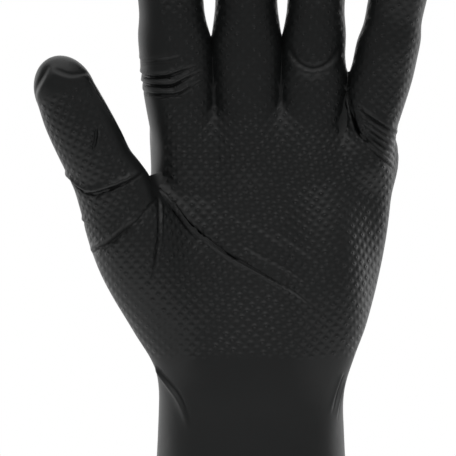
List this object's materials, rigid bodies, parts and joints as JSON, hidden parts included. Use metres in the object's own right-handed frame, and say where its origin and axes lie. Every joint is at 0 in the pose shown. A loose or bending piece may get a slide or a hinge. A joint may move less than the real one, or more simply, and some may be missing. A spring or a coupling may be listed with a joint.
{
  "type": "disposable nitrile glove",
  "caption": "Thin disposable glove with a rolled cuff edge and a fine raised diamond grip texture, kept in the form it takes on an open left hand.",
  "frame": {"origin": "centre of the cuff's open mouth, in the plane of its rolled edge", "axes": "+Z from the cuff to the fingertips, -Y out of the palm, -X towards the thumb"},
  "size_m": [0.1351, 0.0565, 0.2397],
  "materials": {
    "nitrile_film": "soft satin black film, moulded with a fine raised diamond pattern on the palm, back and fingers"
  },
  "bodies": {
    "root": {"glove": "nitrile_film"}
  },
  "joints": []
}
